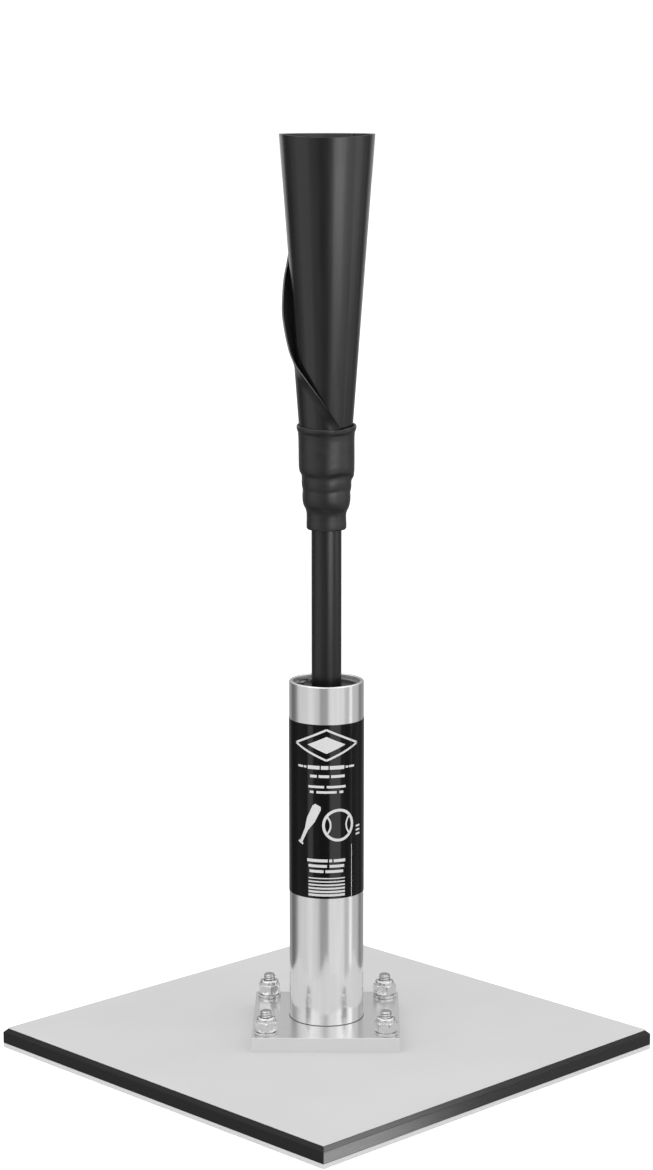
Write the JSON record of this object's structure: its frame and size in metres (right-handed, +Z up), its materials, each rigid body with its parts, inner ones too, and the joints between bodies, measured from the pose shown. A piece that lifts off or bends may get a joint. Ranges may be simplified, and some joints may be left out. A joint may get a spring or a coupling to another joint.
{
  "type": "batting tee",
  "caption": "Batting tee: square bevelled base, upright tube and a sliding, turning stem with a rolled rubber cone on a flexible neck.",
  "frame": {"origin": "centre of the base's underside, on the floor", "axes": "+Z up along the tube and stem; the base's edges run along X and Y; the label faces the base's corner at +X, -Y"},
  "size_m": [0.25, 0.25, 0.4934],
  "materials": {
    "base_sheet": "matt pale grey rubber sheet",
    "base_core": "black powder coat, bevelled edge",
    "base_skin": "matt pale grey, faint stipple",
    "flange": "ground and lightly polished",
    "tube": "polished, drawn along its length",
    "label": "black gloss film with plain white shapes",
    "hardware": "bright zinc plate",
    "inner_hardware": "plain steel",
    "nylon": "white nylon",
    "bushing": "black acetal, turned",
    "o_ring": "smooth nitrile",
    "stem": "black satin coat",
    "boot": "satin black rubber, drawn tight",
    "cone": "satin black rubber sheet",
    "inner_rubber": "plain black rubber"
  },
  "bodies": {
    "stand": {"base_bottom_sheet": "base_sheet", "base_core": "base_core", "base_top_skin": "base_skin", "flange_plate": "flange", "base_screws": "hardware", "flat_washers": "hardware", "lock_nuts": "hardware", "nut_inserts": "nylon", "outer_tube": "tube", "tube_end_plug": "flange", "plug_screw": "inner_hardware", "bumper_ring": "inner_rubber", "label_wrap": "label", "guide_bushing": "bushing", "bushing_o_rings": "o_ring", "bushing_snap_ring": "inner_hardware"},
    "foot": {"foot_guide": "bushing", "foot_o_rings": "o_ring"},
    "stem": {"stem": "stem", "stem_foot_plug": "flange", "foot_washer": "inner_hardware", "foot_screw": "inner_hardware", "flex_neck": "inner_rubber", "band_clamps": "inner_hardware", "boot": "boot"},
    "cone": {"cone": "cone"}
  },
  "joints": [
    {"name": "height_slide", "type": "slide", "parent": "stand", "child": "foot", "axis": [0, 0, 1], "range_m": [-0.078, 0.031]},
    {"name": "stem_turn", "type": "hinge", "parent": "foot", "child": "stem", "pos_m": [0, 0, 0.2], "axis": [0, 0, 1], "continuous": true},
    {"name": "cone_flex", "type": "hinge", "parent": "stem", "child": "cone", "pos_m": [0, 0, 0.32], "axis": [0.7071, -0.7071, 0], "range_deg": [-40, 40], "stiffness_Nm_per_rad": 2, "deforming": ["boot", "flex_neck"]}
  ]
}
